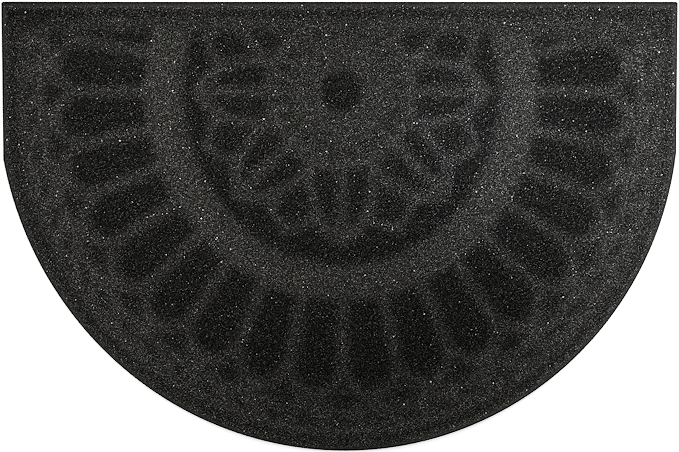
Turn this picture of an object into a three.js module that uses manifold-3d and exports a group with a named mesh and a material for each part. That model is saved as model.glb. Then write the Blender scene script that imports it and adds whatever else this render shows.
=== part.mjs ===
// Half-round outdoor doormat, pressed in one piece from rubber crumb with a short fibre face.
// Millimetres, +Z up. +X runs along the straight edge, +Y points to the straight edge, and the
// round edge faces -Y. The origin is at the middle of the mat's box, on its flat underside.
// The face carries a sunken wheel rosette, as on a church window: what reads light on the mat
// stands at full height, and what reads dark is pressed in.

import * as THREE from 'three';
import { mergeVertices } from 'three/addons/utils/BufferGeometryUtils.js';
import Module from 'manifold-3d';

// The whole mat
const matWidth = 914.4;
const matDepth = 607.2;
const matThickness = 9.5;
const cornerCut = 2;
const edgeRound = 2.5;
const edgeRoundSteps = 2;

// The mat isn't quite even: its round edge is two quarter ellipses, one for each side, that meet
// a little right of the middle. straight is the length of the side down to the curve, reach is
// how far the curve stands out sideways, and drop is how far it comes down.
const roundMeetsX = 7.7;
const leftSide = { straight: 213.4, reach: 471, drop: 487 };
const rightSide = { straight: 204, reach: 450.7, drop: 457.2 };
const edgeSteps = 36;

// Sunken parts: the wall of each slopes, and its outline holds halfway down the wall
const wallSlope = 3;
const cutAbove = 2;
const depthOf = { cell: 3, groove: 2.5, spandrel: 2.5, dash: 2, notch: 1.5 };

// The groove that sets off the raised rim
const rimWidth = 11;
const rimWiderAtStraightEdge = 1.5;
const grooveWidth = 9.5;

// The rosette: its centre, its lean to one side, and how much longer each zone is along Y
const rosetteX = 2;
const rosetteY = 181.6;
const lean = 0.007;
const stretch = { star: 1.041, hollow: 1.105, wheel: 1.063 };

// The rosette ends at a plain band along the straight edge, which is wider at its right end
const plainBand = { width: 40, widthAtRight: 50, widensFrom: 190, widensTo: 270 };

// Every radius below is measured from the rosette's centre along X
const hub = { radius: 26.5, steps: 20 };
const notch = { count: 24, radius: 79, length: 19, width: 9, steps: 8 };
const petal = { pairs: 8, start: 102.5, tip: 172, rib: 7.8, shoulder: 32, tipWidth: 7.2, steps: 5 };
const petalArch = { along: 142, across: 39 };
const roundCell = { radius: 163, size: 20.3, point: 132.5, steps: 10 };
const star = { tips: 16, radius: 204, valley: 179, shoulder: 186, shoulderAngle: 15.3 };
const hollowRing = { radius: 211.8, steps: 56 };
const spoke = { count: 32, start: 266.3, shoulder: 348, end: 378, rib: 8.2, corner: 5, steps: 8 };
const spandrel = { apex: 374, base: 395, baseHalf: 24, foot: 402 };
const dash = { count: 60, radius: 418, length: 28, width: 11.5, tilt: 18, turn: -0.1, steps: 8 };

const degree = Math.PI / 180;

const wasm = await Module();
wasm.setup();

// A closed three.js geometry as a solid that can be cut and joined
function solidOf(geometry) {
  const bare = geometry.clone();
  bare.deleteAttribute('normal');
  bare.deleteAttribute('uv');
  const merged = mergeVertices(bare);
  const vertProperties = new Float32Array(merged.attributes.position.array);
  const triVerts = new Uint32Array(merged.index.array);
  return new wasm.Manifold(new wasm.Mesh({ numProp: 3, vertProperties, triVerts }));
}

// The solid's triangles as a three.js geometry
function geometryOf(solid) {
  const mesh = solid.getMesh();
  const geometry = new THREE.BufferGeometry();
  geometry.setAttribute('position', new THREE.BufferAttribute(mesh.vertProperties, mesh.numProp));
  geometry.setIndex(new THREE.BufferAttribute(mesh.triVerts, 1));
  geometry.computeVertexNormals();
  return geometry;
}

// One quarter ellipse of the round edge, from one angle to another, moved in by inset
function roundEdge(side, from, to, inset) {
  const centreY = side.drop - matDepth / 2;
  const curve = new THREE.EllipseCurve(
    roundMeetsX, centreY, side.reach - inset, side.drop - inset, from, to, false, 0);
  return curve.getPoints(edgeSteps);
}

// How far below level, seen from its centre, a quarter ellipse meets the straight side
function sideAngle(side) {
  const sideEndY = matDepth / 2 - side.straight;
  const centreY = side.drop - matDepth / 2;
  return Math.asin((centreY - sideEndY) / side.drop);
}

// The mat's outline, moved in by inset, and by straightInset along the straight edge
function matOutline(inset, straightInset = inset) {
  const straightY = matDepth / 2 - straightInset;
  const cornerX = matWidth / 2 - inset;
  const lowest = 1.5 * Math.PI;
  const left = roundEdge(leftSide, Math.PI + sideAngle(leftSide), lowest, inset);
  const right = roundEdge(rightSide, lowest, 2 * Math.PI - sideAngle(rightSide), inset);
  return [
    new THREE.Vector2(cornerCut - cornerX, straightY),
    new THREE.Vector2(-cornerX, straightY - cornerCut),
    ...left,
    ...right.slice(1),
    new THREE.Vector2(cornerX, straightY - cornerCut),
    new THREE.Vector2(cornerX - cornerCut, straightY),
  ];
}

// A point of the rosette, given along and across an axis that leaves its centre at axisDegrees
function onFace(along, across, axisDegrees, zoneStretch) {
  const angle = axisDegrees * degree + Math.atan2(across, along);
  const flattened = Math.hypot(Math.cos(angle), Math.sin(angle) / zoneStretch);
  const reach = Math.hypot(along, across) / flattened;
  const y = reach * Math.sin(angle);
  return new THREE.Vector2(rosetteX + reach * Math.cos(angle) - lean * y, rosetteY + y);
}

// A shape from [along, across] pairs on one axis
function shapeOnAxis(pairs, axisDegrees, zoneStretch) {
  const points = pairs.map(([along, across]) => onFace(along, across, axisDegrees, zoneStretch));
  return new THREE.Shape(points);
}

// Evenly spaced [along, across] pairs on an arc, counterclockwise, both ends included
function arcPairs(centre, radiusAlong, radiusAcross, fromDegrees, toDegrees, steps) {
  const pairs = [];
  for (let i = 0; i <= steps; i += 1) {
    const angle = (fromDegrees + ((toDegrees - fromDegrees) * i) / steps) * degree;
    pairs.push([centre + radiusAlong * Math.cos(angle), radiusAcross * Math.sin(angle)]);
  }
  return pairs;
}

// An oval's [along, across] pairs. At a tilt of 0 its length lies along the ring, and at 90 it
// points away from the rosette's centre.
function ovalPairs(oval, tiltDegrees) {
  const along = Math.sin(tiltDegrees * degree);
  const across = Math.cos(tiltDegrees * degree);
  const pairs = [];
  for (let i = 0; i < oval.steps; i += 1) {
    const angle = (2 * Math.PI * i) / oval.steps;
    const lengthwise = (oval.length / 2) * Math.sin(angle);
    const sideways = (oval.width / 2) * Math.cos(angle);
    pairs.push([
      oval.radius + lengthwise * along + sideways * across,
      lengthwise * across - sideways * along,
    ]);
  }
  return pairs;
}

// A ring of the rosette all the way round
function ringPoints(radius, zoneStretch, steps) {
  const points = [];
  for (let i = 0; i < steps; i += 1) {
    points.push(onFace(radius, 0, (360 * i) / steps, zoneStretch));
  }
  return points;
}

// The cutter for a sunken part: half the slope wider than its outline at the face, and half the
// slope narrower at its floor
function cutter(shape, depth) {
  const geometry = new THREE.ExtrudeGeometry(shape, {
    depth: cutAbove,
    bevelEnabled: true,
    bevelSegments: 1,
    bevelThickness: depth,
    bevelSize: wallSlope,
    bevelOffset: -wallSlope / 2,
  });
  geometry.translate(0, 0, matThickness);
  return solidOf(geometry);
}

// The flat slab with its rounded upper edge
function slab() {
  const geometry = new THREE.ExtrudeGeometry(new THREE.Shape(matOutline(0)), {
    depth: matThickness - edgeRound,
    bevelEnabled: true,
    bevelSegments: edgeRoundSteps,
    bevelThickness: edgeRound,
    bevelSize: edgeRound,
    bevelOffset: -edgeRound,
  });
  const below = new THREE.BoxGeometry(2 * matWidth, 2 * matDepth, 2 * matThickness);
  below.translate(0, 0, -matThickness);
  return solidOf(geometry).subtract(solidOf(below));
}

// The groove behind the rim, all the way round the mat
function rimGroove() {
  const [outer, inner] = [rimWidth, rimWidth + grooveWidth].map(
    (inset) => matOutline(inset, inset + rimWiderAtStraightEdge));
  const shape = new THREE.Shape(outer);
  shape.holes.push(new THREE.Path(inner));
  return cutter(shape, depthOf.groove);
}

// The round hollow in the middle
function hubCutter() {
  return cutter(new THREE.Shape(ringPoints(hub.radius, stretch.star, hub.steps)), depthOf.cell);
}

// Small shallow notches in a ring round the hub, each with its length along a spoke
function notchCutters() {
  const pairs = ovalPairs(notch, 90);
  const cutters = [];
  for (let i = 0; i < notch.count; i += 1) {
    const axis = (360 * (i + 0.5)) / notch.count;
    cutters.push(cutter(shapeOnAxis(pairs, axis, stretch.star), depthOf.notch));
  }
  return cutters;
}

// Two long petals under each pointed arch, one each side of a thin rib
function petalCutters() {
  const arch = new THREE.QuadraticBezierCurve(
    new THREE.Vector2(petal.start, petal.shoulder),
    new THREE.Vector2(petalArch.along, petalArch.across),
    new THREE.Vector2(petal.tip, petal.rib + petal.tipWidth));
  const archPairs = arch.getPoints(petal.steps).map((point) => [point.x, point.y]);
  const oneSide = [[petal.tip, petal.rib], ...archPairs.reverse(), [petal.start, petal.rib]];
  const otherSide = oneSide.map(([along, across]) => [along, -across]);
  const cutters = [];
  for (let i = 0; i < petal.pairs; i += 1) {
    const axis = (360 * i) / petal.pairs;
    for (const pairs of [oneSide, otherSide]) {
      cutters.push(cutter(shapeOnAxis(pairs, axis, stretch.star), depthOf.cell));
    }
  }
  return cutters;
}

// A round cell with one point, turned inwards, between each two arches
function roundCellCutters() {
  const tangent = Math.acos(roundCell.size / (roundCell.radius - roundCell.point)) / degree;
  const pairs = arcPairs(roundCell.radius, roundCell.size, roundCell.size,
    tangent - 180, 180 - tangent, roundCell.steps);
  pairs.push([roundCell.point, 0]);
  const cutters = [];
  for (let i = 0; i < petal.pairs; i += 1) {
    const axis = (360 * (i + 0.5)) / petal.pairs;
    cutters.push(cutter(shapeOnAxis(pairs, axis, stretch.star), depthOf.cell));
  }
  return cutters;
}

// The outline of the raised star. Every other tip is an arch's, and the tips between them are
// narrower, with a shoulder on each side.
function starOutline() {
  const tipStep = 360 / star.tips;
  const points = [];
  for (let i = 0; i < star.tips; i += 2) {
    const axis = i * tipStep;
    points.push(onFace(star.radius, 0, axis, stretch.star));
    points.push(onFace(star.valley, 0, axis + tipStep / 2, stretch.star));
    points.push(onFace(star.shoulder, 0, axis + star.shoulderAngle, stretch.star));
    points.push(onFace(star.radius, 0, axis + tipStep, stretch.star));
    points.push(onFace(star.shoulder, 0, axis + 2 * tipStep - star.shoulderAngle, stretch.star));
    points.push(onFace(star.valley, 0, axis + 1.5 * tipStep, stretch.star));
  }
  return points;
}

// The sunken ring that sets off the star
function hollowRingCutter() {
  const shape = new THREE.Shape(ringPoints(hollowRing.radius, stretch.hollow, hollowRing.steps));
  shape.holes.push(new THREE.Path(starOutline()));
  return cutter(shape, depthOf.cell);
}

// The big cells between the wheel's spokes, with rounded outer ends
function spokeCutters() {
  const slope = Math.tan((180 / spoke.count) * degree);
  const halfWidth = (along) => along * slope - spoke.rib;
  const end = arcPairs(spoke.shoulder, spoke.end - spoke.shoulder, halfWidth(spoke.shoulder),
    -90, 90, spoke.steps);
  const innerHalf = halfWidth(spoke.start);
  const pairs = [
    ...end,
    [spoke.start + spoke.corner, innerHalf],
    [spoke.start, innerHalf - spoke.corner],
    [spoke.start, spoke.corner - innerHalf],
    [spoke.start + spoke.corner, -innerHalf],
  ];
  const cutters = [];
  for (let i = 0; i < spoke.count; i += 1) {
    const axis = (360 * (i + 0.5)) / spoke.count;
    cutters.push(cutter(shapeOnAxis(pairs, axis, stretch.wheel), depthOf.cell));
  }
  return cutters;
}

// The small spandrels outside the spokes
function spandrelCutters() {
  const pairs = [
    [spandrel.apex, 0],
    [spandrel.base, -spandrel.baseHalf],
    [spandrel.foot, 0],
    [spandrel.base, spandrel.baseHalf],
  ];
  const cutters = [];
  for (let i = 0; i < spoke.count; i += 1) {
    const axis = (360 * i) / spoke.count;
    cutters.push(cutter(shapeOnAxis(pairs, axis, stretch.wheel), depthOf.spandrel));
  }
  return cutters;
}

// The rope ring: slanting dashes all the way round
function dashCutters() {
  const pairs = ovalPairs(dash, dash.tilt);
  const cutters = [];
  for (let i = 0; i < dash.count; i += 1) {
    const axis = (360 * (i + dash.turn)) / dash.count;
    cutters.push(cutter(shapeOnAxis(pairs, axis, stretch.wheel), depthOf.dash));
  }
  return cutters;
}

// Everything below the plain band
function rosetteLimit() {
  const highest = matDepth / 2 - plainBand.width;
  const highestAtRight = matDepth / 2 - plainBand.widthAtRight;
  const shape = new THREE.Shape([
    new THREE.Vector2(-matWidth, -matDepth),
    new THREE.Vector2(matWidth, -matDepth),
    new THREE.Vector2(matWidth, highestAtRight),
    new THREE.Vector2(plainBand.widensTo, highestAtRight),
    new THREE.Vector2(plainBand.widensFrom, highest),
    new THREE.Vector2(-matWidth, highest),
  ]);
  return cutter(shape, depthOf.cell);
}

function doormat() {
  const rosette = [
    hubCutter(),
    ...notchCutters(),
    ...petalCutters(),
    ...roundCellCutters(),
    hollowRingCutter(),
    ...spokeCutters(),
    ...spandrelCutters(),
    ...dashCutters(),
  ];
  const limit = rosetteLimit();
  let solid = slab().subtract(rimGroove());
  for (const part of rosette) {
    solid = solid.subtract(part.intersect(limit));
  }
  return geometryOf(solid);
}

const crumbRubber = new THREE.MeshStandardMaterial({ color: 0x2d2c2a, roughness: 0.95, metalness: 0 });

const group = new THREE.Group();
const mat = new THREE.Mesh(doormat(), crumbRubber);
mat.name = 'doormat';
group.add(mat);

export default group;
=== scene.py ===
import math

import bmesh
import bpy
import numpy as np
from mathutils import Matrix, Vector


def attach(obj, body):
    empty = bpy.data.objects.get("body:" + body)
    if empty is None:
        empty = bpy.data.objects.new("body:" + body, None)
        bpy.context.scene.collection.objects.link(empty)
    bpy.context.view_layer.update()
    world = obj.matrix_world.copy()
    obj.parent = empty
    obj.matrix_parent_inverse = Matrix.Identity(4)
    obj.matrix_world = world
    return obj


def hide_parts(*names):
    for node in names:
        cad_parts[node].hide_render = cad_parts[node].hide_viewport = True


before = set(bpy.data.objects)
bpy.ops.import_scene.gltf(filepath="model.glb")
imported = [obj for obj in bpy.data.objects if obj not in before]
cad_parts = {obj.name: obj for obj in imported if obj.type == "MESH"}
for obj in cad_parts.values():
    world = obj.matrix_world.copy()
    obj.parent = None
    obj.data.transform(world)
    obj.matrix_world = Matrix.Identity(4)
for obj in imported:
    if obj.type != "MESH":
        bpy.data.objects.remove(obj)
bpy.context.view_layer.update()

# Half-round outdoor doormat, pressed in one piece from rubber crumb with a short fibre face.
# +X runs along the straight edge, +Y points to the straight edge, and the origin is under the
# middle of the mat, on its underside. The mat's sizes are in millimetres, and each mesh is turned
# into metres as its last step. The sizes from here to DASH repeat the part's own.
MM = 0.001
WIDTH, DEPTH, THICKNESS = 914.4, 607.2, 9.5
CORNER_CUT = 2.0
EDGE_ROUND = 2.5

# The round edge is two quarter ellipses that meet a little right of the middle
ROUND_MEETS_X = 7.7
LEFT_SIDE = {"straight": 213.4, "reach": 471, "drop": 487}
RIGHT_SIDE = {"straight": 204, "reach": 450.7, "drop": 457.2}
EDGE_STEPS = 48

RIM_WIDTH, RIM_WIDER_AT_TOP, GROOVE_WIDTH = 11.0, 1.5, 9.5
ROSETTE_X, ROSETTE_Y, LEAN = 2.0, 181.6, 0.007
STAR_STRETCH, HOLLOW_STRETCH, WHEEL_STRETCH = 1.041, 1.105, 1.063
PLAIN_BAND, PLAIN_BAND_RIGHT, BAND_WIDENS_FROM, BAND_WIDENS_TO = 40, 50, 190, 270

HUB_RADIUS = 26.5
NOTCH = {"count": 24, "radius": 79, "length": 19, "width": 9}
PETAL = {"count": 8, "start": 102.5, "tip": 172, "rib": 7.8}
PETAL_ARCH = ((102.5, 32), (142, 39), (172, 15))
ROUND_CELL = {"radius": 163, "size": 20.3, "point": 132.5}
STAR_TURNS, STAR_RADII, STAR_SLOPE = (0, 11.25, 15.3, 22.5), (204, 179, 186, 204), 30
HOLLOW_RADIUS = 211.8
SPOKE = {"count": 32, "start": 266.3, "shoulder": 348, "end": 378, "rib": 8.2}
SPANDREL = {"apex": 374, "base": 395, "half": 24, "foot": 402}
DASH = {"count": 60, "radius": 418, "length": 28, "width": 11.5, "tilt": 18, "turn": -0.1}

# How closely the face is meshed, where the field's mesh hands over to the rim's rings, where
# those rings lie, and the steps of the rounded upper edge in degrees
FACE_PITCH, FIELD_INSET, RIM_RINGS, ROUND_TURNS = 2.5, 9.0, (6.8, 4.6), (30, 60, 90)
# Faces this near the field's border are cut there, and corners nearer than this are merged
CUT_WITHIN, MERGE_WITHIN = 2 * FACE_PITCH, 0.2 * FACE_PITCH
# How many points make one side of a pointed arch, and how near two equal levels may be
ARCH_POINTS, SAME_LEVEL = 12, 0.01
# How far crumb stands up or down on the field and on the rim, where the one begins to turn into
# the other, and how far crumb may sit to one side, as a share of the pitch
CRUMB_STANDS, RIM_CRUMB_STANDS = 0.32, 0.12
CRUMB_FROM, CRUMB_SOFT = 9, 6
CRUMB_ASIDE = 0.3

# For each kind of sunken part: how deep it is, how dark its floor looks beside a cell's, and
# how wide its soft walls are
SUNK = {
    "hub": (3.0, 1.0, 13), "notch": (1.5, 0.5, 11), "petal": (3.0, 0.94, 17),
    "hollow": (3.0, 1.0, 17), "cell": (3.0, 0.98, 17), "spandrel": (2.5, 0.69, 18),
    "dash": (2.0, 0.33, 10), "groove": (2.5, 0.24, 10),
}

# Wear makes the face look lighter, counted on the same scale as the floors above. The broad ring
# inside the wheel stands a little higher than the rest. The ring round the notches wears a
# little, and all that lies outside the spokes more; at the middle of the round edge painted shade
# takes much of that lightness away again.
CROWN_FROM, CROWN_TO, CROWN_RISE, CROWN_LIGHTER, CROWN_SOFT = 228, 275, 0.4, 0.29, 25
WORN_FROM, WORN_TO, WORN_LIGHTER, WORN_SOFT = 88, 104, 0.1, 10
OUTSIDE_FROM, OUTSIDE_LIGHTER, OUTSIDE_SOFT = 382, 0.37, 20
# Painted shade at the middle of the round edge: how much lightness it takes away, its half width
# and softness, and how far in from the edge and how softly it starts again past the rim
BOTTOM_PAINTED_SHADE, BOTTOM_PAINTED_SHADE_HALF, BOTTOM_PAINTED_SHADE_SOFT = 0.85, 105, 60
BOTTOM_PAINTED_SHADE_FROM, BOTTOM_PAINTED_SHADE_FADE = 30, 8
# The plain band along the straight edge is a little darker, and the groove in it has painted
# shade
BAND_SOFT, BAND_DARKER, GROOVE_DARKER_AT_BAND = 20, 0.12, 0.35
# The rim has painted light and shade: painted light along the straight edge, painted shade that
# is darkest at the left, and a painted highlight for a stretch at the lower right
RIM_SOFT, RIM_LIGHTER_AT_BAND = 4, 0.4
RIM_PLACES, RIM_LIGHTER = (-330, -250), (-0.27, -0.08)
RIM_HIGHLIGHT_X, RIM_HIGHLIGHT_HALF, RIM_HIGHLIGHT_SOFT, RIM_HIGHLIGHT_LIGHTER = 235, 100, 200, 1.13
# The groove has painted shade, darker at the left than at the right, and at both sides the face
# is dark for a stretch inside it
GROOVE_PLACES, GROOVE_DARKER = (-400, -250, 100, 200), (0.2, 0, 0, -0.12)
SIDE_PLACES, SIDE_DARKER = (-400, -330, 330, 400), (0.37, 0, 0, 0.2)
SIDE_DARK_WIDTH, SIDE_DARK_SOFT = 33, 8
# The rounded upper edge has painted shade along the straight edge
EDGE_DARKER_AT_BAND, EDGE_DARK_WIDTH, EDGE_SOFT = 1.15, 3.2, 5
# The grain is pressed smooth along the edge: how smooth, to how far in by the straight edge and
# elsewhere, how softly that ends, and how far from the straight edge its wider stretch goes
SMOOTHEST, SMOOTH_TO, SMOOTH_SOFT, SMOOTH_BAND = 0.75, (7.0, 4.8), 4, 12

# Loose grains: how many, from what size to what size, how far their middle stands out of the
# face as a share of their size, and how far they stay clear of the mat's edge
LOOSE_CRUMB = {"count": 18000, "smallest": 0.8, "largest": 1.7, "proud": 0.1, "clear": 7}
PALE_FLECKS = {"count": 2300, "smallest": 0.9, "largest": 2.0, "proud": 0.2, "clear": 3}
# Their least and most length, width and height and the unevenness of their corners, as shares of
# their size, and how far they tilt in radians
CHIP_LEAST, CHIP_MOST, CHIP_UNEVEN, CHIP_TILT = (0.8, 0.6, 0.5), (1.3, 1.0, 0.8), 0.12, 0.7
# How much lighter a grain is when it is big, and by chance, and how much darker when it is sunk
BIG_LIGHTER, CHANCE_LIGHTER, SUNK_DARKER = 0.5, 0.6, 0.25

# The studio, in metres. The floor lies a hair under the mat, so that two faces at one level
# never flicker. Each lamp has its place, what it points at, its cone in degrees, its watts and
# its colour.
FLOOR_HALF, FLOOR_CLEAR, FLOOR_GLOW = 20, 0.0002, 0.45
SKY_STRENGTH = 0.745
LAMP_RADIUS = 0.1
LAMPS = {
    "right_lamp": ((1.2, 0.5, 2.6), (0.556, 0.196, 0), 21.0, 380, (0.97, 1.0, 1.08)),
    "far_lamp": ((0.0, 1.2, 2.6), (-0.061, 0.246, 0), 17.5, 213, (1.0, 1.0, 1.04)),
    "left_lamp": ((-1.2, 0.2, 2.6), (-0.482, 0.048, 0), 19.1, 89, (1.04, 1.0, 1.08)),
    "sheen_lamp": ((1.0, 1.0, 2.6), (0.153, 0.132, 0), 6.4, 205, (0.93, 1.0, 1.17)),
}
# The camera: how wide a stretch its picture shows at this level, and over which point it hangs
SEEN_WIDTH, SEEN_LEVEL, SEEN_X, SEEN_Y = 0.9178, 0.006, -0.00005, 0.0003
LENS, SENSOR, FARTHEST = 200, 36, 50
# The finish: how far the tones are lifted for it, which tones it sharpens, and how much
FINISH_GAMMA, FINISH_BELOW, FINISH_SHARPEN = 1.5, 0.37, 0.3

# One seed for everything that is scattered, so that every run gives the same mat
random = np.random.default_rng(1936)


def edge_curve(side, start, end, inset):
    """One quarter ellipse of the round edge, moved in by inset."""
    turn = np.linspace(start, end, EDGE_STEPS + 1)
    across = ROUND_MEETS_X + (side["reach"] - inset) * np.cos(turn)
    up = side["drop"] - DEPTH / 2 + (side["drop"] - inset) * np.sin(turn)
    return np.column_stack([across, up])


def side_angle(side):
    """How far below level, seen from its centre, a quarter ellipse meets the straight side."""
    return math.asin((side["drop"] - DEPTH + side["straight"]) / side["drop"])


def outline(inset):
    """The mat's outline, moved in by inset, counterclockwise, with the same points each time."""
    straight_y, corner_x = DEPTH / 2 - inset, WIDTH / 2 - inset
    lowest = 1.5 * math.pi
    left = edge_curve(LEFT_SIDE, math.pi + side_angle(LEFT_SIDE), lowest, inset)
    right = edge_curve(RIGHT_SIDE, lowest, 2 * math.pi - side_angle(RIGHT_SIDE), inset)
    return np.vstack([
        [(CORNER_CUT - corner_x, straight_y), (-corner_x, straight_y - CORNER_CUT)],
        left,
        right[1:],
        [(corner_x, straight_y - CORNER_CUT), (corner_x - CORNER_CUT, straight_y)],
    ])


def from_edge(x, y):
    """How far each point lies inside the mat's outline."""
    ring = outline(0)
    along = np.roll(ring, -1, axis=0) - ring
    inward = np.column_stack([-along[:, 1], along[:, 0]]) / np.hypot(*along.T)[:, None]
    nearest = np.full(x.shape, np.inf)
    for corner, normal in zip(ring, inward):
        nearest = np.minimum(nearest, (x - corner[0]) * normal[0] + (y - corner[1]) * normal[1])
    return nearest


def eased(inside, soft):
    """0 outside a shape and 1 inside, with a soft slope across its outline."""
    share = np.clip(inside / soft + 0.5, 0, 1)
    return share * share * (3 - 2 * share)


def round_centre(x, y, stretch):
    """Radius, as it is along X, and angle of each point round the rosette's centre."""
    up = y - ROSETTE_Y
    over = x - ROSETTE_X + LEAN * up
    return np.hypot(over, up / stretch), np.arctan2(up, over)


def on_axis(radius, angle, count, start):
    """How far each point is along the nearest of count even axes, beside it, and to which side.
    The first axis is start steps round."""
    step = 2 * math.pi / count
    turn = angle - start * step
    turn = turn - step * np.round(turn / step)
    return radius * np.cos(turn), np.abs(radius * np.sin(turn)), radius * np.sin(turn)


def in_petal(radius, angle):
    """Inside the two long petals under each pointed arch, one each side of a thin rib."""
    along, beside, _ = on_axis(radius, angle, PETAL["count"], 0)
    share = np.linspace(0, 1, ARCH_POINTS)[:, None]
    first, middle, last = (np.array(point, float) for point in PETAL_ARCH)
    arch = first * (1 - share) ** 2 + 2 * middle * share * (1 - share) + last * share ** 2
    arch_half = np.interp(along, arch[:, 0], arch[:, 1])
    ends = np.minimum(along - PETAL["start"], PETAL["tip"] - along)
    return np.minimum(ends, np.minimum(beside - PETAL["rib"], arch_half - beside))


def in_round_cell(radius, angle):
    """Inside the round cells, each with one point turned inwards."""
    along, beside, _ = on_axis(radius, angle, PETAL["count"], 0.5)
    size, reach = ROUND_CELL["size"], ROUND_CELL["radius"] - ROUND_CELL["point"]
    sine = size / reach
    cosine = math.sqrt(1 - sine * sine)
    from_point = along - ROUND_CELL["point"]
    straight = from_point * sine - beside * cosine
    curved = size - np.hypot(along - ROUND_CELL["radius"], beside)
    return np.where(from_point * cosine + beside * sine < reach * cosine, straight, curved)


def in_star(radius, angle):
    """Inside the raised star, whose outline slopes and so is nearer than along a radius."""
    step = math.radians(2 * STAR_TURNS[-1])
    turn = np.degrees(np.abs(angle - step * np.round(angle / step)))
    return (np.interp(turn, STAR_TURNS, STAR_RADII) - radius) * math.cos(math.radians(STAR_SLOPE))


def in_spoke_cell(radius, angle):
    """Inside the big cells between the wheel's spokes, with rounded outer ends."""
    along, beside, _ = on_axis(radius, angle, SPOKE["count"], 0.5)
    slope = math.tan(math.pi / SPOKE["count"])
    sides = np.minimum(along - SPOKE["start"], along * slope - SPOKE["rib"] - beside)
    end_half = SPOKE["shoulder"] * slope - SPOKE["rib"]
    past = (along - SPOKE["shoulder"]) / (SPOKE["end"] - SPOKE["shoulder"])
    end = (1 - np.hypot(past, beside / end_half)) * end_half
    return np.where(past > 0, end, sides)


def in_spandrel(radius, angle):
    """Inside the small fan-shaped spandrels outside the spokes."""
    along, beside, _ = on_axis(radius, angle, SPOKE["count"], 0)
    half, rise = SPANDREL["half"], SPANDREL["base"] - SPANDREL["apex"]
    fall = SPANDREL["foot"] - SPANDREL["base"]
    lower = ((along - SPANDREL["apex"]) * half - beside * rise) / math.hypot(half, rise)
    upper = ((SPANDREL["foot"] - along) * half - beside * fall) / math.hypot(half, fall)
    return np.minimum(lower, upper)


def in_oval(radius, angle, oval, start, tilt):
    """Inside a ring of ovals; a tilt of 90 points them at the rosette's centre."""
    along, _, across = on_axis(radius, angle, oval["count"], start)
    along = along - oval["radius"]
    sine, cosine = math.sin(math.radians(tilt)), math.cos(math.radians(tilt))
    lengthwise = (along * sine + across * cosine) / (oval["length"] / 2)
    sideways = (along * cosine - across * sine) / (oval["width"] / 2)
    return (1 - np.hypot(lengthwise, sideways)) * oval["width"] / 2


def sunken_shapes(x, y, star, wheel):
    """Each kind of sunken part of the rosette, and how far inside it each point lies."""
    hollow_radius, _ = round_centre(x, y, HOLLOW_STRETCH)
    return [
        ("hub", HUB_RADIUS - star[0]),
        ("notch", in_oval(*star, NOTCH, 0.5, 90)),
        ("petal", in_petal(*star)),
        ("petal", in_round_cell(*star)),
        ("hollow", np.minimum(HOLLOW_RADIUS - hollow_radius, -in_star(*star))),
        ("cell", in_spoke_cell(*wheel)),
        ("spandrel", in_spandrel(*wheel)),
        ("dash", in_oval(*wheel, DASH, DASH["turn"], DASH["tilt"])),
    ]


def wear_and_painted_shade(x, y, edge, star_radius, wheel_radius, crown):
    """How much lighter wear makes the raised face look, with painted shade taking some of it
    away at the middle of the round edge.
    """
    worn = eased(np.minimum(star_radius - WORN_FROM, WORN_TO - star_radius), WORN_SOFT)
    outside = eased(wheel_radius - OUTSIDE_FROM, OUTSIDE_SOFT)
    # Painted shade at the middle of the round edge
    less = BOTTOM_PAINTED_SHADE * np.where(y < 0, eased(BOTTOM_PAINTED_SHADE_HALF - np.abs(x), BOTTOM_PAINTED_SHADE_SOFT), 0)
    less *= np.maximum(
        eased(edge - BOTTOM_PAINTED_SHADE_FROM, BOTTOM_PAINTED_SHADE_FADE), eased(RIM_WIDTH - edge, BOTTOM_PAINTED_SHADE_FADE))
    return CROWN_LIGHTER * crown + WORN_LIGHTER * worn + OUTSIDE_LIGHTER * (1 - less) * outside


def border_darker(x, y, edge, plain):
    """How much darker the rim, the sides and the straight edge look; below 0 is lighter. On the
    rim and the rounded edge this is painted light and shade.
    """
    rim = eased(RIM_WIDTH - RIM_SOFT / 2 - edge, RIM_SOFT)
    # Painted shade on the rim, darkest at the left, a painted highlight at the lower right, and
    # painted light along the straight edge
    lighter = np.interp(x, RIM_PLACES, RIM_LIGHTER)
    lighter += RIM_HIGHLIGHT_LIGHTER * eased(RIM_HIGHLIGHT_HALF - np.abs(x - RIM_HIGHLIGHT_X), RIM_HIGHLIGHT_SOFT)
    lighter += (RIM_LIGHTER_AT_BAND - lighter) * plain
    side = np.interp(x, SIDE_PLACES, SIDE_DARKER) * (1 - rim)
    side *= eased(SIDE_DARK_WIDTH - edge, SIDE_DARK_SOFT)
    # Painted shade on the rounded upper edge along the straight edge
    straight = EDGE_DARKER_AT_BAND * eased(y - DEPTH / 2 + EDGE_DARK_WIDTH, EDGE_SOFT)
    return side + straight - lighter * rim


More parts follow.
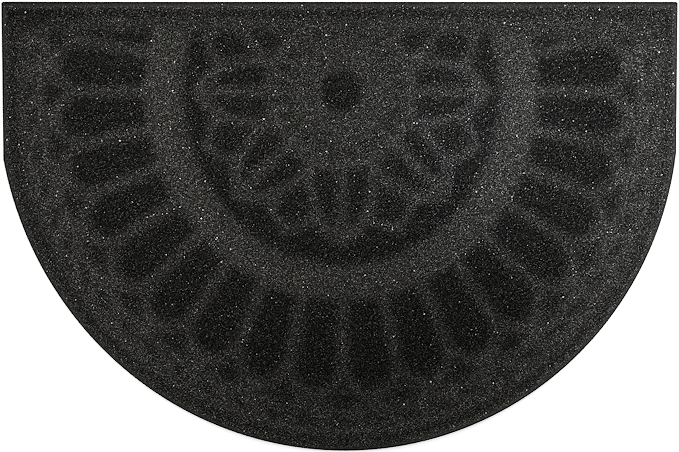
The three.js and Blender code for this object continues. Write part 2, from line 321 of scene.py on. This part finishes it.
def pressed(x, y):
    """How deep the face is pressed in at each point, and how dark it looks: 0 on raised parts
    and 1 on the floor of a cell. How dark it looks also holds painted light and shade on the rim,
    the rounded edge, the groove and the middle of the round edge."""
    edge = np.minimum(from_edge(x, y), DEPTH / 2 - y - RIM_WIDER_AT_TOP)
    star = round_centre(x, y, STAR_STRETCH)
    wheel = round_centre(x, y, WHEEL_STRETCH)
    crown = eased(np.minimum(wheel[0] - CROWN_FROM, CROWN_TO - wheel[0]), CROWN_SOFT)
    depth, dark = -CROWN_RISE * crown, -wear_and_painted_shade(x, y, edge, star[0], wheel[0], crown)
    for kind, inside in sunken_shapes(x, y, star, wheel):
        sunk, darkness, soft = SUNK[kind]
        share = eased(inside, soft)
        depth = depth + (sunk - depth) * share
        dark = dark + (darkness - dark) * share
    band = np.interp(x, (BAND_WIDENS_FROM, BAND_WIDENS_TO), (PLAIN_BAND, PLAIN_BAND_RIGHT))
    plain = eased(y - DEPTH / 2 + band, BAND_SOFT)
    depth = depth * (1 - plain)
    dark = dark + (BAND_DARKER - dark) * plain + border_darker(x, y, edge, plain)
    sunk, darkness, soft = SUNK["groove"]
    groove = eased(np.minimum(edge - RIM_WIDTH, RIM_WIDTH + GROOVE_WIDTH - edge), soft)
    # Painted shade in the groove along the straight edge and towards the left
    darkness = darkness + GROOVE_DARKER_AT_BAND * plain
    darkness += np.interp(x, GROOVE_PLACES, GROOVE_DARKER)
    return depth + (sunk - depth) * groove, dark + (darkness - dark) * groove


def feet(points, ring):
    """For each point, the ring's edge that it lies on and how far along it is."""
    along = np.roll(ring, -1, axis=0) - ring
    away = points[:, None] - ring
    share = np.clip((away * along).sum(2) / (along ** 2).sum(1), 0, 1)
    gap = np.hypot(*np.moveaxis(away - share[..., None] * along, 2, 0))
    edge = gap.argmin(1)
    return edge, share[np.arange(len(points)), edge]


def clip_to(bm, ring):
    """Cuts the flat grid down to the ring, one straight cut for each of its edges. The lists keep
    the order of the faces, so that every run gives the same mesh."""
    centres = np.array([face.calc_center_median()[:2] for face in bm.faces])
    inset = from_edge(*centres.T)
    faces = np.array(bm.faces, dtype=object)
    lost = faces[inset < FIELD_INSET - CUT_WITHIN].tolist()
    near = faces[np.abs(inset - FIELD_INSET) <= CUT_WITHIN].tolist()
    bmesh.ops.delete(bm, geom=lost, context="FACES")
    edges = dict.fromkeys(edge for face in near for edge in face.edges)
    verts = dict.fromkeys(vert for face in near for vert in face.verts)
    near += [*edges, *verts]
    for corner, following in zip(ring, np.roll(ring, -1, axis=0)):
        run = following - corner
        cut = bmesh.ops.bisect_plane(
            bm, geom=near, plane_co=(*corner, 0), plane_no=(run[1], -run[0], 0), clear_outer=True)
        near = [part for part in cut["geom"] if part.is_valid]
    border = [edge for edge in bm.edges if edge.is_boundary]
    corners = dict.fromkeys(vert for edge in border for vert in edge.verts)
    bmesh.ops.remove_doubles(bm, verts=[*corners], dist=MERGE_WITHIN)


def grow_ring(bm, inset, new_inset, height):
    """Extrudes the open border from one inset of the outline to another, at a new height."""
    border = [edge for edge in bm.edges if edge.is_boundary]
    grown = bmesh.ops.extrude_edge_only(bm, edges=border)
    verts = [part for part in grown["geom"] if isinstance(part, bmesh.types.BMVert)]
    edge, share = feet(np.array([vert.co[:2] for vert in verts]), outline(inset))
    ring = outline(new_inset)
    places = ring[edge] + share[:, None] * (np.roll(ring, -1, axis=0)[edge] - ring[edge])
    for vert, place in zip(verts, places):
        vert.co = (*place, height)


def mat_mesh():
    """The whole mat, still flat, as one closed mesh: field, rim, rounded edge, wall and base."""
    bm = bmesh.new()
    bmesh.ops.create_grid(
        bm, x_segments=round(WIDTH / FACE_PITCH), y_segments=round(DEPTH / FACE_PITCH), size=0.5)
    bmesh.ops.scale(bm, vec=(WIDTH, DEPTH, 1), verts=bm.verts)
    clip_to(bm, outline(FIELD_INSET))
    for vert in bm.verts:
        vert.co.z = THICKNESS
    inset = FIELD_INSET
    for following in (*RIM_RINGS, EDGE_ROUND):
        grow_ring(bm, inset, following, THICKNESS)
        inset = following
    for turn in ROUND_TURNS:
        following = EDGE_ROUND * (1 - math.sin(math.radians(turn)))
        drop = EDGE_ROUND * (1 - math.cos(math.radians(turn)))
        grow_ring(bm, inset, following, THICKNESS - drop)
        inset = following
    grow_ring(bm, 0, 0, (THICKNESS - EDGE_ROUND) / 2)
    grow_ring(bm, 0, 0, 0)
    bmesh.ops.contextual_create(bm, geom=[edge for edge in bm.edges if edge.is_boundary])
    bmesh.ops.recalc_face_normals(bm, faces=bm.faces)
    # Extruding adds its faces in no fixed order, so they are put in one that never changes
    bm.verts.index_update()
    bm.faces.sort(key=lambda face: face.verts[0].index * len(bm.verts) + face.verts[2].index)
    mesh = bpy.data.meshes.new("pressed_mat")
    bm.to_mesh(mesh)
    bm.free()
    return mesh


def keep_on_points(mesh, name, values):
    """Stores one value for each point of the mesh, for its material to read."""
    mesh.attributes.new(name, "FLOAT", "POINT").data.foreach_set("value", values)


def press_face(mesh):
    """Presses the pattern into the face, roughens it with crumb, and turns it into metres."""
    places = np.empty(3 * len(mesh.vertices))
    mesh.vertices.foreach_get("co", places)
    places = places.reshape(-1, 3)
    x, y, z = places.T
    edge = from_edge(x, y)
    smooth_to = np.interp(DEPTH / 2 - y, (SMOOTH_BAND, 2 * SMOOTH_BAND), SMOOTH_TO)
    smooth = SMOOTHEST * eased(smooth_to - edge, SMOOTH_SOFT)
    face = z > THICKNESS - SAME_LEVEL
    depth, dark = (np.where(face, values, 0) for values in pressed(x, y))
    on_field = eased(edge - CRUMB_FROM, CRUMB_SOFT)
    stands = RIM_CRUMB_STANDS + (CRUMB_STANDS - RIM_CRUMB_STANDS) * on_field
    crumb = random.uniform(-1, 1, places.shape)
    aside = np.where(edge > FIELD_INSET + FACE_PITCH, CRUMB_ASIDE * FACE_PITCH, 0)
    places[:, 2] += np.where(z > SAME_LEVEL, crumb[:, 2] * stands, 0) - depth
    places[:, 0] += crumb[:, 0] * aside
    places[:, 1] += crumb[:, 1] * aside
    mesh.vertices.foreach_set("co", (places * MM).ravel())
    keep_on_points(mesh, "dark", dark)
    keep_on_points(mesh, "smooth", smooth)
    mesh.update()


def chips_mesh(name, count, smallest, largest, proud, clear):
    """Small angular grains scattered over the face and half sunk in it, as one joined mesh."""
    bm = bmesh.new()
    bmesh.ops.create_uvsphere(bm, u_segments=5, v_segments=2, radius=0.5)
    one = np.array([vert.co for vert in bm.verts])
    corners = np.array([[vert.index for vert in face.verts] for face in bm.faces])
    bm.free()
    x = random.uniform(-WIDTH / 2, WIDTH / 2, 2 * count)
    y = random.uniform(-DEPTH / 2, DEPTH / 2, 2 * count)
    kept = from_edge(x, y) > clear
    x, y = x[kept][:count], y[kept][:count]
    count = len(x)
    size = smallest + (largest - smallest) * random.random(count) ** 2
    lengths = random.uniform(CHIP_LEAST, CHIP_MOST, (count, 3)) * size[:, None]
    turn = random.uniform(0, 2 * math.pi, count)[:, None]
    tilt = random.uniform(-CHIP_TILT, CHIP_TILT, count)[:, None]
    points = one * lengths[:, None]
    points += random.uniform(-CHIP_UNEVEN, CHIP_UNEVEN, points.shape) * size[:, None, None]
    long, wide, high = np.moveaxis(points, 2, 0)
    swung = long * np.cos(tilt) - high * np.sin(tilt)
    lifted = long * np.sin(tilt) + high * np.cos(tilt)
    depth, dark = pressed(x, y)
    places = np.stack([
        x[:, None] + swung * np.cos(turn) - wide * np.sin(turn),
        y[:, None] + swung * np.sin(turn) + wide * np.cos(turn),
        (THICKNESS - depth + proud * size)[:, None] + lifted], axis=2)
    faces = (corners + len(one) * np.arange(count)[:, None, None]).reshape(-1, 3)
    mesh = bpy.data.meshes.new(name)
    mesh.from_pydata((places * MM).reshape(-1, 3).tolist(), [], faces.tolist())
    big = (size - smallest) / (largest - smallest)
    shade = BIG_LIGHTER * big + CHANCE_LIGHTER * random.random(count) - SUNK_DARKER * dark
    keep_on_points(mesh, "shade", np.repeat(np.clip(shade, 0, 1), len(one)))
    return mesh


def linear(code):
    """An sRGB hex colour as linear RGBA."""
    parts = [int(code[i:i + 2], 16) / 255 for i in (1, 3, 5)]
    return [c / 12.92 if c <= 0.04045 else ((c + 0.055) / 1.055) ** 2.4 for c in parts] + [1.0]


def add(tree, kind, inputs=None, **settings):
    """Adds a node with its settings; an input is a value, or an output to link."""
    node = tree.nodes.new(kind)
    for name, value in settings.items():
        setattr(node, name, value)
    for name, value in (inputs or {}).items():
        if isinstance(value, bpy.types.NodeSocket):
            tree.links.new(value, node.inputs[name])
        else:
            node.inputs[name].default_value = value
    return node


def set_stops(ramp, stops):
    """Gives a colour ramp its stops, each a position and a colour."""
    while len(ramp.elements) < len(stops):
        ramp.elements.new(0.5)
    for stop, (position, code) in zip(ramp.elements, stops):
        stop.position = position
        stop.color = linear(code)


def new_material(name):
    """An empty material and its node tree."""
    material = bpy.data.materials.new(name)
    material.use_nodes = True
    material.node_tree.nodes.clear()
    return material, material.node_tree


def pressed_crumb():
    """Pressed rubber crumb with a short fibre face: near-black gaps between grey grains about
    1 mm across, and no gloss. Where the face is raised it is greyer and worn even; where it is
    sunk it stays open, with deeper gaps and grains that differ more. Along the mat's edge, where
    it is pressed smooth, the grains come near one even tone."""
    grain, gap_width, bump_height = 0.001, 0.25, 0.0005
    # Each of these is first for raised parts of the face and then for sunk ones. The gaps go on
    # getting lighter up to the most worn parts.
    gap_shade, dimmest_grain, brightest_grain = (0.47, 0.0), (1.0, 0.25), (1.0, 1.95)
    whole_shade, most_worn = (1.13, 0.54), -0.3
    material, tree = new_material("pressed_rubber_crumb_with_fibre")
    place = add(tree, "ShaderNodeTexCoord").outputs["Object"]
    dark = add(tree, "ShaderNodeAttribute", attribute_name="dark").outputs["Fac"]
    smooth = add(tree, "ShaderNodeAttribute", attribute_name="smooth").outputs["Fac"]
    cells = add(tree, "ShaderNodeTexVoronoi", {"Vector": place, "Scale": 1 / grain})
    edges = add(tree, "ShaderNodeTexVoronoi", {"Vector": place, "Scale": 1 / grain},
                feature="DISTANCE_TO_EDGE")
    shade = add(tree, "ShaderNodeSeparateColor", {"Color": cells.outputs["Color"]})
    ramp = add(tree, "ShaderNodeValToRGB", {"Fac": shade.outputs["Red"]})
    set_stops(ramp.color_ramp, [
        (0.0, "#0f0f0e"), (0.5, "#272624"), (0.8, "#3c3b38"), (0.95, "#5c5b56"),
        (1.0, "#85837c")])
    deepest = add(tree, "ShaderNodeMapRange", {
        "Value": dark, "From Min": most_worn, "To Min": gap_shade[0], "To Max": gap_shade[1]})
    gap = add(tree, "ShaderNodeMapRange", {
        "Value": edges.outputs["Distance"], "From Min": 0.0, "From Max": gap_width,
        "To Min": deepest.outputs["Result"], "To Max": 1.0})
    dimmest = add(tree, "ShaderNodeMapRange", {
        "Value": dark, "To Min": dimmest_grain[0], "To Max": dimmest_grain[1]})
    brightest = add(tree, "ShaderNodeMapRange", {
        "Value": dark, "To Min": brightest_grain[0], "To Max": brightest_grain[1]})
    spread = add(tree, "ShaderNodeMapRange", {
        "Value": shade.outputs["Green"], "To Min": dimmest.outputs["Result"],
        "To Max": brightest.outputs["Result"]})
    level = add(tree, "ShaderNodeMapRange", {
        "Value": dark, "To Min": whole_shade[0], "To Max": whole_shade[1]}, clamp=False)
    grain_level = add(tree, "ShaderNodeMath", {
        0: spread.outputs["Result"], 1: level.outputs["Result"]}, operation="MULTIPLY")
    share = add(tree, "ShaderNodeMath", {
        0: gap.outputs["Result"], 1: grain_level.outputs["Value"]}, operation="MULTIPLY")
    grains = add(tree, "ShaderNodeMix", {
        0: smooth, 6: ramp.outputs["Color"], 7: linear("#31302e")}, data_type="RGBA")
    colour = add(tree, "ShaderNodeVectorMath", {
        0: grains.outputs[2], "Scale": share.outputs["Value"]}, operation="SCALE")
    bump = add(tree, "ShaderNodeBump", {
        "Height": edges.outputs["Distance"], "Strength": 0.6, "Distance": bump_height})
    shader = add(tree, "ShaderNodeBsdfPrincipled", {
        "Base Color": colour.outputs["Vector"], "Roughness": 0.95, "Specular IOR Level": 0.05,
        "Normal": bump.outputs["Normal"]})
    add(tree, "ShaderNodeOutputMaterial", {"Surface": shader.outputs["BSDF"]})
    return material


def chip_material(name, stops):
    """Loose grains on the face, each with its own shade from dark to light; no gloss."""
    material, tree = new_material(name)
    shade = add(tree, "ShaderNodeAttribute", attribute_name="shade")
    ramp = add(tree, "ShaderNodeValToRGB", {"Fac": shade.outputs["Fac"]})
    set_stops(ramp.color_ramp, stops)
    shader = add(tree, "ShaderNodeBsdfPrincipled", {
        "Base Color": ramp.outputs["Color"], "Roughness": 0.9, "Specular IOR Level": 0.1})
    add(tree, "ShaderNodeOutputMaterial", {"Surface": shader.outputs["BSDF"]})
    return material


def new_piece(name, mesh, material):
    """Puts a finished mesh in the scene as a piece of the mat."""
    piece = bpy.data.objects.new(name, mesh)
    bpy.context.scene.collection.objects.link(piece)
    mesh.materials.append(material)
    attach(piece, "root")
    return piece


def lamp(name, place, aim, cone, power, colour):
    """A lamp that fades away towards the edge of its cone."""
    light = bpy.data.lights.new(name, "SPOT")
    light.energy = power
    light.color = colour
    light.spot_size = math.radians(cone)
    light.spot_blend = 1.0
    light.shadow_soft_size = LAMP_RADIUS
    holder = bpy.data.objects.new(name, light)
    holder.location = place
    holder.rotation_euler = (Vector(aim) - Vector(place)).to_track_quat("-Z", "Y").to_euler()
    holder.visible_camera = False
    bpy.context.scene.collection.objects.link(holder)


def studio():
    """A white floor, soft light from all round, and lamps above, the strongest at the right."""
    bm = bmesh.new()
    bmesh.ops.create_grid(bm, x_segments=1, y_segments=1, size=FLOOR_HALF)
    bmesh.ops.translate(bm, vec=(0, 0, -FLOOR_CLEAR), verts=bm.verts)
    mesh = bpy.data.meshes.new("floor")
    bm.to_mesh(mesh)
    bm.free()
    material, tree = new_material("white_floor")
    shader = add(tree, "ShaderNodeBsdfPrincipled", {
        "Base Color": linear("#f7f7f7"), "Roughness": 0.9, "Specular IOR Level": 0.0,
        "Emission Color": linear("#ffffff"), "Emission Strength": FLOOR_GLOW})
    add(tree, "ShaderNodeOutputMaterial", {"Surface": shader.outputs["BSDF"]})
    mesh.materials.append(material)
    floor = bpy.data.objects.new("floor", mesh)
    bpy.context.scene.collection.objects.link(floor)
    world = bpy.data.worlds.new("soft_light")
    world.use_nodes = True
    sky = world.node_tree.nodes["Background"]
    sky.inputs["Color"].default_value = linear("#fdfeff")
    sky.inputs["Strength"].default_value = SKY_STRENGTH
    bpy.context.scene.world = world
    for name, settings in LAMPS.items():
        lamp(name, *settings)


def photo_finish():
    """Sharpens the dark parts of the picture a little, as the photograph is. The white floor is
    left out, so that no black line forms round the mat."""
    scene = bpy.context.scene
    scene.view_settings.view_transform = "Standard"
    scene.use_nodes = True
    tree = scene.node_tree
    tree.nodes.clear()
    layers = add(tree, "CompositorNodeRLayers")
    lifted = add(tree, "CompositorNodeGamma", {
        "Image": layers.outputs["Image"], "Gamma": 1 / FINISH_GAMMA})
    dark_part = add(tree, "CompositorNodeMixRGB", {
        1: lifted.outputs["Image"], 2: (FINISH_BELOW, FINISH_BELOW, FINISH_BELOW, 1)},
        blend_type="DARKEN")
    light_part = add(tree, "CompositorNodeMixRGB", {
        1: lifted.outputs["Image"], 2: dark_part.outputs["Image"]}, blend_type="SUBTRACT")
    sharper = add(tree, "CompositorNodeFilter", {
        "Fac": FINISH_SHARPEN, "Image": dark_part.outputs["Image"]},
        filter_type="SHARPEN_DIAMOND")
    both = add(tree, "CompositorNodeMixRGB", {
        1: sharper.outputs["Image"], 2: light_part.outputs["Image"]}, blend_type="ADD")
    lowered = add(tree, "CompositorNodeGamma", {
        "Image": both.outputs["Image"], "Gamma": FINISH_GAMMA})
    add(tree, "CompositorNodeComposite", {"Image": lowered.outputs["Image"]})


def camera():
    """Straight above the mat, as the photograph is."""
    data = bpy.data.cameras.new("camera")
    data.lens = LENS
    data.sensor_width = SENSOR
    data.clip_end = FARTHEST
    holder = bpy.data.objects.new("camera", data)
    holder.location = (SEEN_X, SEEN_Y, SEEN_LEVEL + SEEN_WIDTH * LENS / SENSOR)
    bpy.context.scene.collection.objects.link(holder)
    bpy.context.scene.camera = holder


camera()
studio()
photo_finish()

mesh = mat_mesh()
press_face(mesh)
pressed_mat = new_piece("pressed_mat", mesh, pressed_crumb())
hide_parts("doormat")

grey = chip_material("loose_rubber_crumb", [(0.0, "#191917"), (0.5, "#302f2c"), (1.0, "#6b6a65")])
new_piece("rubber_crumb", chips_mesh("rubber_crumb", **LOOSE_CRUMB), grey)
pale = chip_material("pale_crumb", [(0.0, "#7e7e7a"), (0.6, "#a6a6a2"), (1.0, "#ffffff")])
new_piece("pale_flecks", chips_mesh("pale_flecks", **PALE_FLECKS), pale)
